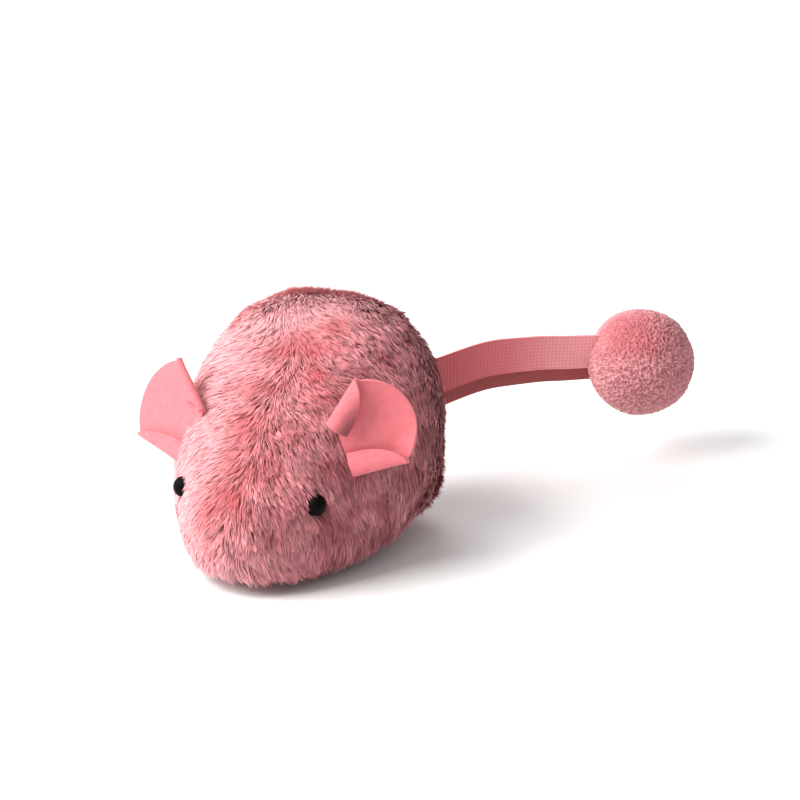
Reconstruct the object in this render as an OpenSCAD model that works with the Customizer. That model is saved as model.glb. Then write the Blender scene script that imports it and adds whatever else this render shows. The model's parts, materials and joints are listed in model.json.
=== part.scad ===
// Clockwork mouse: a plush cover over a spring-driven chassis, with a
// ribbon tail that swings on a pin and carries a fleece ball.
// The origin is on the floor, at the middle of the front glide foot.
// The nose points along -Y, the mouse's left side is +X, and +Z is up.

/* [Body] */
// Length of the plush body, nose to rump
body_l = 81; // [78:0.5:90]
// Width of the plush body, over the pile
body_w = 64; // [62:0.5:70]
// Height of the plush body, over the pile
body_h = 59; // [58:0.5:66]
// Thickness of the cloth and its pile
cover_t = 5; // [4.5:0.25:5.5]

/* [Ears and eyes] */
// Radius of an ear's round edge
ear_r = 13.5; // [11:0.1:16]
// Thickness of an ear's cloth
ear_t = 1.2; // [0.8:0.1:2]
// Radius of an eye bead
eye_r = 2.6; // [2:0.1:3.2]

/* [Tail] */
// Width of the tail ribbon, which stands on edge
ribbon_w = 10; // [8:0.5:10]
// Length of the ribbon's middle line, pin to ball
ribbon_l = 70; // [60:1:80]
// Diameter of the fleece ball
ball_d = 28.5; // [20:0.5:32]

/* [Clockwork] */
// Module of the gear teeth
gear_m = 0.5; // [0.5]
// Teeth of the great wheel
great_teeth = 40; // [40]
// Teeth of the idler wheel
idler_teeth = 36; // [36]
// Teeth of each pinion
pinion_teeth = 12; // [12]
// Outer radius of a drive tyre
tyre_r = 7.5; // [7.3:0.1:7.7]

/* [Hidden] */
$fn = 48;

// Plush body: its sections run from the nose, t = 0, to the rump, t = 1
nose_y = -24;
nose_z = 9;
rump_z = 22;
belly_z = 1.5;
wide_t = 0.65;
high_t = 0.78;
chin_t = 0.22;
tuck_t = 0.8;
waist_share = 0.42;

// How square the body form is: higher numbers are fuller
nose_full = 1.42;
flank_full = 2.6;
brow_full = 1;
back_full = 2.4;
chin_full = 2.2;
seat_full = 2;
upper_full = 2.45;
lower_full = 3;
rings = 20;
sides = 28;

// Ears and eyes
ear_centre = [5, 5];
ear_root = [[-6, -6.8], [3.5, -6.8]];
ear_top = [-6, 6.7];
left_ear_at = [19.6, -0.7, 33];
left_ear_turn = [2, 0, 13];
left_ear_rim = [-30, 94];
right_ear_at = [20, -0.5, 31.8];
right_ear_turn = [20, -14, 26];
right_ear_rim = [-22, 90];
eye_pos = [17.2, -10.4, 22];
eye_turn = -32;
eye_lift = 20;
shank_r = 0.8;
shank_l = 8;
washer_r = 2.6;
washer_t = 1;

// Chassis
tray_z = 3;
tray_t = 1.6;
tray_top = tray_z + tray_t;
tray_half = [[8, -7], [16, 14], [16, 41], [9.8, 47.4]];
hem_w = 1.2;
hem_t = 0.8;
foot_r = 4.5;
foot_edge = 0.5;
stem_r = 2;
stem_play = 0.05;
screw_spots = [[6, 9.5], [-6, 9.5], [10.6, 41.6], [-10.6, 41.6]];
screw_r = 0.9;
screw_play = 0.1;
head_r = 1.7;
head_t = 0.7;
head_edge = [0.5, 0.4];
screw_top = 8;
screw_tip = 0.8;
boss_r = 2;
boss_top = 10;
slot_gap = 0.5;
slot_half = 8;
clasp_r = 0.6;
clasp_h = 1.6;
clasp_room = 0.8;

// Motor: shaft places are [y, z]
plate_x = 7;
plate_t = 1;
plate_y = [15.8, 45.9];
plate_top = 36;
axle_at = [31, tyre_r];
great_at = [35, 25];
great_r = gear_m * great_teeth / 2;
idler_r = gear_m * idler_teeth / 2;
pinion_r = gear_m * pinion_teeth / 2;
near_d = idler_r + pinion_r;
far_d = great_r + pinion_r;
span = norm(great_at - axle_at);
span_dir = atan2(great_at[1] - axle_at[1], great_at[0] - axle_at[0]);
lean = acos((near_d * near_d + span * span - far_d * far_d) / (2 * near_d * span));
idler_dir = span_dir + lean;
idler_at = axle_at + near_d * [cos(idler_dir), sin(idler_dir)];
great_dir = atan2(great_at[1] - idler_at[1], great_at[0] - idler_at[0]);
great_x = [-6.2, -4.8];
idler_x = [2.8, 4.2];
pinion_x = [2.4, 4.6];
idler_pinion_x = [-6.5, -4.4];
addendum = 0.95;
dedendum = 1.2;
backlash = 0.05;
pressure = 25;
arbor_r = 1.5;
idler_shaft_r = 1;
axle_r = 1.2;
bush_r = 2;
bush_lip = 0.4;
shaft_end = 0.1;
run_gap = 0.06;
pillar_r = 1.4;
pillar_spots = [[18.4, 33], [43.6, 34.2], [43.8, 8], [18.2, 6.9]];

// Mainspring
spring_x = [-4.2, 1.6];
spring_in = 1.9;
spring_out = 8.8;
spring_t = 0.35;
spring_turns = 5;
spring_end = 60;
post_r = 0.8;
post_hook = 0.1;

// Motor cover
box_x = 9.5;
box_y = [13, 47.4];
box_top = 38;
box_t = 1.2;
arch_x = 15;
arch_y = 9.6;
arch_top = 17;
arch_t = 1;
ledge_y = 6.4;
ledge_t = 1.6;
arbor_room = 0.5;

// Drive wheels
wheel_x = [10, 13.4];
wheel_r = 5.2;
dish_deep = 0.9;
flange_t = 0.8;
flange_slope = 0.4;
tread_edge = 0.6;

// Winding key
key_tube_r = 3;
key_rim_x = -28.6;
key_rim_r = 5;
key_x = -30.2;
key_hub_r = 2.6;
key_hub_l = 4.4;
key_socket = 2.6;
wing_r = 3.8;
wing_hole_r = 1.8;
wing_z = 4.6;
wing_x = -36.4;
wing_t = 1.6;

// Tail: headings are turned from +Y towards +X
pin_y = 53.6;
pin_r = 1;
ribbon_z = 23.5;
ribbon_t = 0.7;
layer_gap = 0.5;
loop_in = pin_r + run_gap;
loop_out = loop_in + ribbon_t;
tail_start = 24;
tail_end = 60;
tail_sweep_r = ribbon_l / ((tail_end - tail_start) * PI / 180);

// The ribbon flexes across this short gap between its two lengths
bend_s = 35;
bend_gap = 0.7;
layer_close = 12;
pocket_r = 6.3;
lug_t = 1.2;
lug_x = 2.6;
lug_play = 0.3;
lug_back = 1.4;
pocket_room = 0.6;
ball_r = ball_d / 2;
fleece_t = 1.6;
ball_drop = 3.1;
ball_in = 3;

// Plush body outline ------------------------------------------------------

function bulge(v, p) = sqrt(max(0, 1 - pow(v, p)));
function rising(t, mid, p_front, p_back) =
    t < mid ? bulge((mid - t) / mid, p_front) : bulge((t - mid) / (1 - mid), p_back);
function half_width(t) = body_w / 2 * rising(t, wide_t, nose_full, flank_full);
function crown(t) =
    t < high_t ? nose_z + (body_h - nose_z) * rising(t, high_t, brow_full, back_full)
               : rump_z + (body_h - rump_z) * rising(t, high_t, brow_full, back_full);
function belly(t) =
    t < chin_t ? nose_z - (nose_z - belly_z) * bulge((chin_t - t) / chin_t, chin_full)
    : t > tuck_t ? rump_z - (rump_z - belly_z) * bulge((t - tuck_t) / (1 - tuck_t), seat_full)
    : belly_z;
function signed_pow(v, p) = sign(v) * pow(abs(v), p);
function waist(t) = belly(t) + (crown(t) - belly(t)) * waist_share;
function section_point(t, a) =
    let (roundness = a > 180 ? lower_full : upper_full,
         reach = a > 180 ? waist(t) - belly(t) : crown(t) - waist(t))
    [half_width(t) * signed_pow(cos(a), 2 / roundness),
     nose_y + body_l * t,
     waist(t) + reach * signed_pow(sin(a), 2 / roundness)];

// The closed body form, shrunk by inset on every side
module body_form(inset) {
    middle = [0, nose_y + body_l / 2, belly_z + (body_h - belly_z) / 2];
    share = [1 - 2 * inset / body_w, 1 - 2 * inset / body_l, 1 - 2 * inset / (body_h - belly_z)];
    ts = [for (i = [1:rings - 1]) (1 - cos(180 * i / rings)) / 2];
    raw = [for (t = ts) for (k = [0:sides - 1]) section_point(t, 360 * k / sides)];
    ends = [[0, nose_y, nose_z], [0, nose_y + body_l, rump_z]];
    points = [for (p = concat(raw, ends))
        [for (i = [0:2]) middle[i] + (p[i] - middle[i]) * share[i]]];
    nose = len(raw);
    rump = nose + 1;
    last = (rings - 2) * sides;
    walls = [for (r = [0:rings - 3]) for (k = [0:sides - 1])
        let (n = (k + 1) % sides, a = r * sides + k, b = r * sides + n)
        each [[a, b + sides, a + sides], [a, b, b + sides]]];
    caps = [for (k = [0:sides - 1]) let (n = (k + 1) % sides)
        each [[nose, n, k], [rump, last + k, last + n]]];
    polyhedron(points, concat(walls, caps));
}

// Helpers -----------------------------------------------------------------

// A disc or rod along X between two x values, at [y, z]
module rod_x(at, xs, r) {
    translate([xs[0], at[0], at[1]])
        rotate([0, 90, 0])
            cylinder(h = xs[1] - xs[0], r = r);
}

// A block between two corners
module block(low, high) {
    translate(low)
        cube(high - low);
}

// The same child on both sides of the middle plane
module both_sides() {
    children();
    mirror([1, 0, 0])
        children();
}

// Involute gear outline: a tooth points along the angle given
function involute(base, a) = base * [cos(a) + a * PI / 180 * sin(a), sin(a) - a * PI / 180 * cos(a)];
function turned(p, a) = [p[0] * cos(a) - p[1] * sin(a), p[0] * sin(a) + p[1] * cos(a)];
function roll_angle(base, r) = sqrt(max(0, r * r / (base * base) - 1)) * 180 / PI;
function gear_outline(teeth, tooth_at) =
    let (pitch = gear_m * teeth / 2,
         base = pitch * cos(pressure),
         tip = pitch + addendum * gear_m,
         root = pitch - dedendum * gear_m,
         flank_from = max(base, root),
         flank_turn = tan(pressure) * 180 / PI - pressure,
         half_tooth = 90 / teeth - backlash / 2 / pitch * 180 / PI,
         rolls = [for (k = [0:3]) roll_angle(base, flank_from + (tip - flank_from) * k / 3)],
         flank = [for (a = rolls) turned(involute(base, a), -half_tooth - flank_turn)],
         foot = root * [cos(atan2(flank[0][1], flank[0][0])), sin(atan2(flank[0][1], flank[0][0]))],
         half = concat([foot], flank),
         tooth = concat(half, [for (k = [4:-1:0]) [half[k][0], -half[k][1]]]))
    [for (i = [0:teeth - 1]) for (p = tooth) turned(p, tooth_at + 360 * i / teeth)];

// A gear about an X shaft, with a bore for the shaft
module gear(at, xs, teeth, tooth_at, bore_r) {
    translate([xs[0], at[0], at[1]])
        rotate([90, 0, 90])
            difference() {
                linear_extrude(xs[1] - xs[0])
                    polygon(gear_outline(teeth, tooth_at));
                translate([0, 0, -1])
                    cylinder(h = xs[1] - xs[0] + 2, r = bore_r);
            }
}

// Chassis -----------------------------------------------------------------

// Outline of the tray, grown by g on every side
module tray_outline(g) {
    reach = [[g, -g], [g, -g / 3], [g, g / 3], [g / 2, g]];
    half = tray_half + reach;
    polygon(concat(half, [for (k = [3:-1:0]) [-half[k][0], half[k][1]]]));
}

// Openings in the tray for the wheels and for the teeth of the axle's pinion
module wheel_slots() {
    both_sides()
        block([wheel_x[0] - slot_gap, axle_at[0] - slot_half, tray_z - 1],
              [wheel_x[1] + slot_gap, axle_at[0] + slot_half, tray_top + 1]);
    block([pinion_x[0] - slot_gap, axle_at[0] - pinion_r - 1, tray_z - 1],
          [pinion_x[1] + slot_gap, axle_at[0] + pinion_r + 1, tray_top + 1]);
}

module chassis_tray() {
    color("dimgray")
        difference() {
            translate([0, 0, tray_z])
                linear_extrude(tray_t)
                    tray_outline(0);
            wheel_slots();
            translate([0, 0, tray_z - 1])
                cylinder(h = tray_t + 2, r = stem_r + stem_play);
            for (at = screw_spots)
                translate([at[0], at[1], tray_z - 1])
                    cylinder(h = tray_t + 2, r = screw_r + screw_play);
        }
}

module hem_ring() {
    color("palevioletred")
        translate([0, 0, tray_z - hem_t])
            linear_extrude(hem_t)
                difference() {
                    tray_outline(hem_w);
                    tray_outline(-hem_w);
                }
}

module glide_foot() {
    color("whitesmoke")
        rotate_extrude()
            polygon([[0, 0], [foot_r - foot_edge, 0], [foot_r, foot_edge], [foot_r, tray_z], [stem_r, tray_z],
                     [stem_r, tray_top], [stem_r + clasp_r, tray_top],
                     [stem_r, tray_top + clasp_h], [0, tray_top + clasp_h]]);
}

module cover_screws() {
    color("silver")
        for (at = screw_spots)
            translate([at[0], at[1], 0])
                rotate_extrude()
                    polygon([[0, tray_z - head_t], [head_r - head_edge[0], tray_z - head_t],
                             [head_r, tray_z - head_t + head_edge[1]], [head_r, tray_z],
                             [screw_r, tray_z], [screw_r, screw_top],
                             [0, screw_top + screw_tip]]);
}

// Outside of the motor cover, without its screw bosses
module motor_box() {
    block([-box_x, box_y[0], tray_top], [box_x, box_y[1], box_top]);
    block([-arch_x, axle_at[0] - arch_y, tray_top], [arch_x, axle_at[0] + arch_y, arch_top]);
    block([-box_x, ledge_y, tray_top], [box_x, box_y[0], tray_top + ledge_t]);
    for (at = screw_spots)
        translate([at[0], at[1], tray_top])
            cylinder(h = boss_top - tray_top, r = boss_r);
}

module motor_cover() {
    color("gainsboro")
        difference() {
            motor_box();
            block([-box_x + box_t, box_y[0] + box_t, tray_top - 1],
                  [box_x - box_t, box_y[1] - box_t, box_top - box_t]);
            block([-arch_x + arch_t, axle_at[0] - arch_y + arch_t, tray_top - 1],
                  [arch_x - arch_t, axle_at[0] + arch_y - arch_t, arch_top - arch_t]);
            rod_x(great_at, [-box_x - 1, 0], arbor_r + arbor_room);
            for (at = screw_spots)
                translate([at[0], at[1], tray_top - 1])
                    cylinder(h = boss_top - tray_top, r = screw_r);
        }
}

// Clockwork ---------------------------------------------------------------

module motor_plate(x) {
    color("tan")
        difference() {
            block([x, plate_y[0], tray_top], [x + plate_t, plate_y[1], plate_top]);
            rod_x(axle_at, [x - 1, x + plate_t + 1], bush_r);
            rod_x(great_at, [x - 1, x + plate_t + 1], arbor_r + run_gap);
            rod_x(idler_at, [x - 1, x + plate_t + 1], idler_shaft_r + run_gap);
        }
}

module left_motor_plate() {
    motor_plate(plate_x);
}

module right_motor_plate() {
    motor_plate(-plate_x - plate_t);
}

module plate_pillars() {
    color("silver")
        for (at = pillar_spots)
            rod_x(at, [-plate_x, plate_x], pillar_r);
}

module axle_bushes() {
    color("goldenrod")
        both_sides()
            difference() {
                rod_x(axle_at, [plate_x, plate_x + plate_t + bush_lip], bush_r);
                rod_x(axle_at, [plate_x - 1, plate_x + plate_t + 2], axle_r + run_gap);
            }
}

function spiral(r_add, f) =
    let (r = spring_in + (spring_out - spring_in) * f + r_add,
         a = spring_end - 360 * spring_turns * (1 - f))
    r * [cos(a), sin(a)];

module mainspring() {
    steps = spring_turns * 20;
    outer = [for (i = [0:steps]) spiral(spring_t, i / steps)];
    inner = [for (i = [steps:-1:0]) spiral(0, i / steps)];
    color("steelblue")
        translate([spring_x[0], great_at[0], great_at[1]])
            rotate([90, 0, 90])
                linear_extrude(spring_x[1] - spring_x[0])
                    polygon(concat(outer, inner));
}

module spring_post() {
    at = great_at + (spring_out + spring_t + post_r - post_hook) * [cos(spring_end), sin(spring_end)];
    color("silver")
        rod_x(at, [spring_x[0] - 0.3, plate_x], post_r);
}

module great_wheel() {
    color("gold")
        gear(great_at, great_x, great_teeth, great_dir + 180, arbor_r);
}

module spring_arbor() {
    color("silver")
        rod_x(great_at, [key_x - key_socket, plate_x + plate_t + shaft_end], arbor_r);
}

module idler_arbor() {
    color("silver")
        rod_x(idler_at, [-plate_x - plate_t - shaft_end, plate_x + plate_t + shaft_end], idler_shaft_r);
}

module idler_pinion() {
    color("goldenrod")
        gear(idler_at, idler_pinion_x, pinion_teeth, great_dir + 180 / pinion_teeth, idler_shaft_r);
}

module idler_wheel() {
    color("gold")
        gear(idler_at, idler_x, idler_teeth, idler_dir + 180, idler_shaft_r);
}

module drive_axle() {
    color("silver")
        rod_x(axle_at, [-wheel_x[1], wheel_x[1]], axle_r);
}

module axle_pinion() {
    color("goldenrod")
        gear(axle_at, pinion_x, pinion_teeth, idler_dir + 180 / pinion_teeth, axle_r);
}

// Wheels ------------------------------------------------------------------

// A ring profile turned about the drive axle, on the +X side
module wheel_turning(profile) {
    translate([0, axle_at[0], axle_at[1]])
        rotate([0, 90, 0])
            rotate_extrude()
                polygon(profile);
}

module wheel_hub() {
    wheel_turning([[axle_r, wheel_x[0]], [wheel_r, wheel_x[0]], [wheel_r, wheel_x[1]],
                   [wheel_r - flange_t, wheel_x[1]],
                   [wheel_r - flange_t - flange_slope, wheel_x[1] - dish_deep],
                   [axle_r + 1 + flange_slope, wheel_x[1] - dish_deep],
                   [axle_r + 1, wheel_x[1]], [axle_r, wheel_x[1]]]);
}

module tyre() {
    wheel_turning([[wheel_r, wheel_x[0]], [tyre_r - tread_edge, wheel_x[0]],
                   [tyre_r, wheel_x[0] + tread_edge], [tyre_r, wheel_x[1] - tread_edge],
                   [tyre_r - tread_edge, wheel_x[1]], [wheel_r, wheel_x[1]]]);
}

module left_wheel() {
    color("whitesmoke")
        wheel_hub();
}

module right_wheel() {
    color("whitesmoke")
        mirror([1, 0, 0])
            wheel_hub();
}

module left_tyre() {
    color("black")
        tyre();
}

module right_tyre() {
    color("black")
        mirror([1, 0, 0])
            tyre();
}

// Winding key -------------------------------------------------------------

module key_bush() {
    color("gainsboro")
        difference() {
            union() {
                rod_x(great_at, [key_rim_x, -box_x], key_tube_r);
                rod_x(great_at, [key_rim_x - 1, key_rim_x], key_rim_r);
            }
            rod_x(great_at, [key_rim_x - 2, -box_x + 1], arbor_r + run_gap);
        }
}

module wing_disc(z, thick, r) {
    translate([wing_x, great_at[0], great_at[1] + z])
        rotate([90, 0, 0])
            cylinder(h = thick, r = r, center = true);
}

module winding_key() {
    color("white")
        difference() {
            union() {
                rod_x(great_at, [key_x - key_hub_l, key_x], key_hub_r);
                wing_disc(wing_z, wing_t, wing_r);
                wing_disc(-wing_z, wing_t, wing_r);
                block([wing_x - 1.4, great_at[0] - wing_t / 2, great_at[1] - wing_z],
                      [key_x - key_hub_l + 1, great_at[0] + wing_t / 2, great_at[1] + wing_z]);
            }
            for (z = [-wing_z, wing_z])
                wing_disc(z, 3 * wing_t, wing_hole_r);
            rod_x(great_at, [key_x - key_socket, key_x + 1], arbor_r);
        }
}

// Tail --------------------------------------------------------------------

function heading(s) = tail_start + (tail_end - tail_start) * s / ribbon_l;
function tail_point(s, side) =
    let (h = heading(s))
    [tail_sweep_r * (cos(tail_start) - cos(h)) + side * cos(h),
     pin_y + tail_sweep_r * (sin(h) - sin(tail_start)) - side * sin(h)];

// Distance of a layer's middle from the ribbon's middle line
function layer_side(s) =
    let (far = loop_in + ribbon_t / 2, near = (layer_gap + ribbon_t) / 2)
    s > layer_close ? near : far + (near - far) * s / layer_close;

module ribbon_layers(from, to) {
    steps = 10;
    stops = [for (i = [0:steps]) from + (to - from) * i / steps];
    translate([0, 0, ribbon_z])
        linear_extrude(ribbon_w)
            for (side = [-1, 1])
                polygon(concat(
                    [for (s = stops) tail_point(s, side * layer_side(s) - ribbon_t / 2)],
                    [for (i = [steps:-1:0])
                        tail_point(stops[i], side * layer_side(stops[i]) + ribbon_t / 2)]));
}

module tail_ribbon_base() {
    color("lightcoral")
        difference() {
            union() {
                ribbon_layers(0, bend_s - bend_gap);
                translate([0, pin_y, ribbon_z])
                    cylinder(h = ribbon_w, r = loop_out);
            }
            translate([0, pin_y, ribbon_z - 1])
                cylinder(h = ribbon_w + 2, r = loop_in);
        }
}

module tail_ribbon_end() {
    color("lightcoral")
        ribbon_layers(bend_s + bend_gap, ribbon_l + ball_in);
}

module at_ball() {
    end = tail_point(ribbon_l, 0);
    h = heading(ribbon_l);
    translate([end[0] + ball_r * sin(h), end[1] + ball_r * cos(h), ribbon_z + ribbon_w / 2 - ball_drop])
        children();
}

module ball_core() {
    color("mistyrose")
        at_ball()
            sphere(r = ball_r - fleece_t);
}

module ball_cover() {
    color("pink")
        at_ball()
            difference() {
                sphere(r = ball_r);
                sphere(r = ball_r - fleece_t);
            }
}

// Space in the rump that the tail's loop turns in
module tail_pocket() {
    low = ribbon_z - lug_t - pocket_room;
    high = ribbon_z + ribbon_w + lug_t + pocket_room;
    translate([0, pin_y, low])
        cylinder(h = high - low, r = pocket_r);
    block([-lug_x - 0.2, box_y[1], low], [lug_x + 0.2, pin_y, high]);
}

module tail_anchor() {
    low = ribbon_z - lug_t - lug_play;
    high = ribbon_z + ribbon_w + lug_play;
    color("dimgray")
        difference() {
            union() {
                block([-lug_x, box_y[1], low], [lug_x, box_y[1] + lug_back, high + lug_t]);
                for (z = [low, high]) {
                    block([-lug_x, box_y[1], z], [lug_x, pin_y, z + lug_t]);
                    translate([0, pin_y, z])
                        cylinder(h = lug_t, r = lug_x);
                }
            }
            translate([0, pin_y, low - 1])
                cylinder(h = high - low + lug_t + 2, r = pin_r);
        }
}

module tail_pin() {
    color("silver")
        translate([0, pin_y, ribbon_z - lug_t - lug_play])
            cylinder(h = ribbon_w + 2 * (lug_t + lug_play), r = pin_r);
}

// Head --------------------------------------------------------------------

// An ear at its seam, turned by [lean back, roll, sweep back], its rim between two angles
module ear(at, turn, rim) {
    arc_steps = 12;
    arc = [for (i = [0:arc_steps])
        let (a = rim[0] + (rim[1] - rim[0]) * i / arc_steps)
        ear_centre + ear_r * [cos(a), sin(a)]];
    translate(at)
        rotate([90 - turn[0], 0, turn[2]])
            rotate([0, 0, turn[1]])
                translate([0, 0, -ear_t / 2])
                    linear_extrude(ear_t)
                        polygon(concat(ear_root, arc, [ear_top]));
}

module left_ear() {
    color("lightcoral")
        ear(left_ear_at, left_ear_turn, left_ear_rim);
}

module right_ear() {
    color("lightcoral")
        mirror([1, 0, 0])
            ear(right_ear_at, right_ear_turn, right_ear_rim);
}

// Places its child with +Z pointing out of the left eye
module at_eye() {
    translate(eye_pos)
        rotate([0, 0, eye_turn])
            rotate([0, 90 - eye_lift, 0])
                children();
}

module eye() {
    at_eye()
        rotate_extrude()
            difference() {
                union() {
                    circle(r = eye_r);
                    translate([0, -shank_l])
                        square([shank_r, shank_l]);
                }
                translate([-2 * eye_r, -2 * shank_l])
                    square([2 * eye_r, 4 * shank_l]);
            }
}

module left_eye() {
    color("black")
        eye();
}

module right_eye() {
    color("black")
        mirror([1, 0, 0])
            eye();
}

module eye_washers() {
    color("white")
        both_sides()
            at_eye()
                translate([0, 0, -shank_l + 1])
                    difference() {
                        cylinder(h = washer_t, r = washer_r);
                        translate([0, 0, -1])
                            cylinder(h = washer_t + 2, r = shank_r);
                    }
}

// Plush body --------------------------------------------------------------

// What the cover and the stuffing leave room for
module insides() {
    motor_box();
    translate([0, 0, -1])
        linear_extrude(tray_top + 1)
            tray_outline(0);
    rod_x(great_at, [key_rim_x, -box_x + 0.5], key_tube_r);
    translate([0, 0, tray_z])
        cylinder(h = tray_t + clasp_h + clasp_room, r = stem_r + clasp_r + clasp_room);
    tail_pocket();
}

module plush_cover() {
    color("pink")
        difference() {
            body_form(0);
            body_form(cover_t);
            insides();
            translate([0, 0, -1])
                linear_extrude(tray_z + 1)
                    tray_outline(hem_w);
            rod_x(great_at, [-body_w, key_rim_x], key_rim_r);
        }
}

module stuffing() {
    color("white")
        difference() {
            body_form(cover_t);
            insides();
        }
}

plush_cover();
stuffing();
left_ear();
right_ear();
left_eye();
right_eye();
eye_washers();
chassis_tray();
hem_ring();
glide_foot();
motor_cover();
cover_screws();
left_motor_plate();
right_motor_plate();
plate_pillars();
axle_bushes();
mainspring();
spring_post();
key_bush();
tail_anchor();
tail_pin();
winding_key();
spring_arbor();
great_wheel();
idler_arbor();
idler_pinion();
idler_wheel();
drive_axle();
axle_pinion();
left_wheel();
right_wheel();
left_tyre();
right_tyre();
tail_ribbon_base();
tail_ribbon_end();
ball_core();
ball_cover();
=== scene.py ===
"""A plush clockwork mouse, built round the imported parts: combed fur, felt ears, ribbon tail, fleece ball.

Lengths in the constants are in millimetres; everything made from them is in metres.
"""

import json
import math

import bpy
import numpy as np
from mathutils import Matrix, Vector, noise
from mathutils.kdtree import KDTree


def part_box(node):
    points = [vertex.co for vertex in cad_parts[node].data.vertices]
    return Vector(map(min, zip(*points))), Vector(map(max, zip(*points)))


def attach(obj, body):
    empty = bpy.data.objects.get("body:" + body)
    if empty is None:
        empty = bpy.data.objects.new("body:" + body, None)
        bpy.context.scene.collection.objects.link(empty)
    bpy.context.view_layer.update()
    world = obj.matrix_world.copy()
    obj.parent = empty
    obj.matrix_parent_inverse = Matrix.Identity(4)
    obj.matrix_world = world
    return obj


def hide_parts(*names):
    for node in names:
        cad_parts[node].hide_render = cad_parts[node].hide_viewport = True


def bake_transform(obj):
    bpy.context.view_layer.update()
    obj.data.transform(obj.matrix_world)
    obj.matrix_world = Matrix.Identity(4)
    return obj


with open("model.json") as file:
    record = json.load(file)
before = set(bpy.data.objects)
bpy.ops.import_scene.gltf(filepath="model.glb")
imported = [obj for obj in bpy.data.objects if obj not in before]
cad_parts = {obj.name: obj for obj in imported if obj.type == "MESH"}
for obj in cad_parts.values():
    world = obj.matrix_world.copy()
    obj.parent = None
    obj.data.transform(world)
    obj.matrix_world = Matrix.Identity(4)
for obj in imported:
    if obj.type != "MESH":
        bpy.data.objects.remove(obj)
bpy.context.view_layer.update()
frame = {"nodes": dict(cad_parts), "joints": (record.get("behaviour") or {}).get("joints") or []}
rng = np.random.default_rng(11)
MM = 0.001
TINT = "tint"

# Helpers ---------------------------------------------------------------------


def box_mm(node):
    """Lowest and highest corner of a CAD node, in millimetres."""
    low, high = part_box(node)
    return np.array(low) / MM, np.array(high) / MM


def unit(v):
    """Vectors of length one, along the last axis."""
    return v / np.maximum(np.linalg.norm(v, axis=-1, keepdims=True), 1e-9)


def noise_at(points, size, shift=0.0):
    """Smooth noise from about -1 to 1 at points in millimetres, with blobs of the given size."""
    scaled = np.asarray(points) / size + shift
    return np.array([noise.noise(Vector(p)) for p in scaled])


def smooth_step(low, high, v):
    """Goes from 0 at low to 1 at high, level at both ends; high may lie below low."""
    t = np.clip((v - low) / (high - low), 0, 1)
    return t * t * (3 - 2 * t)


def mix(a, b, share):
    """Goes from a to b as share goes from 0 to 1."""
    share = np.asarray(share)[..., None]
    return np.asarray(a) * (1 - share) + np.asarray(b) * share


def srgb(r, g, b):
    """Linear colour of three 0-255 values as a screen shows them."""
    v = np.array([r, g, b]) / 255
    return np.where(v <= 0.04045, v / 12.92, ((v + 0.055) / 1.055) ** 2.4)


def mesh_object(name, verts_mm, faces):
    """A mesh object from vertices in millimetres and equal-sided faces, each group an integer array."""
    mesh = bpy.data.meshes.new(name)
    groups = [np.asarray(f, dtype=np.int32) for f in faces if len(f)]
    loops = np.concatenate([g.ravel() for g in groups])
    totals = np.concatenate([np.full(len(g), g.shape[1], dtype=np.int32) for g in groups])
    starts = np.concatenate([[0], np.cumsum(totals)[:-1]]).astype(np.int32)
    mesh.vertices.add(len(verts_mm))
    mesh.vertices.foreach_set("co", (np.asarray(verts_mm) * MM).astype(np.float32).ravel())
    mesh.loops.add(len(loops))
    mesh.loops.foreach_set("vertex_index", loops)
    mesh.polygons.add(len(totals))
    mesh.polygons.foreach_set("loop_start", starts)
    mesh.polygons.foreach_set("loop_total", totals)
    mesh.polygons.foreach_set("use_smooth", np.full(len(totals), True))
    mesh.update(calc_edges=True)
    mesh.validate()
    made = bpy.data.objects.new(name, mesh)
    bpy.context.scene.collection.objects.link(made)
    return made


def grid_faces(rows, cols, wrap=False):
    """Quads of a rows x cols grid of vertices; wrap joins the last column to the first."""
    span = cols if wrap else cols - 1
    r, c = np.meshgrid(np.arange(rows - 1), np.arange(span), indexing="ij")
    a, b = r * cols + c, r * cols + (c + 1) % cols
    return np.stack([a, b, b + cols, a + cols], -1).reshape(-1, 4)


def end_caps(rows, cols):
    """Triangles that close a wrapped grid's first and last ring at two vertices that follow the grid's."""
    k = np.arange(cols)
    after, last = (k + 1) % cols, (rows - 1) * cols
    first_cap = np.stack([np.full(cols, rows * cols), k, after], -1)
    last_cap = np.stack([np.full(cols, rows * cols + 1), last + after, last + k], -1)
    return np.concatenate([first_cap, last_cap])


def paint(made, colours):
    """Gives each vertex its own colour."""
    layer = made.data.color_attributes.new(TINT, "FLOAT_COLOR", "POINT")
    rgba = np.concatenate([colours, np.ones((len(colours), 1))], 1)
    layer.data.foreach_set("color", rgba.astype(np.float32).ravel())


# Materials -------------------------------------------------------------------

NOISE_ROUGH = 0.55
NOISE_SPAN = (0.35, 0.65)


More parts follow.
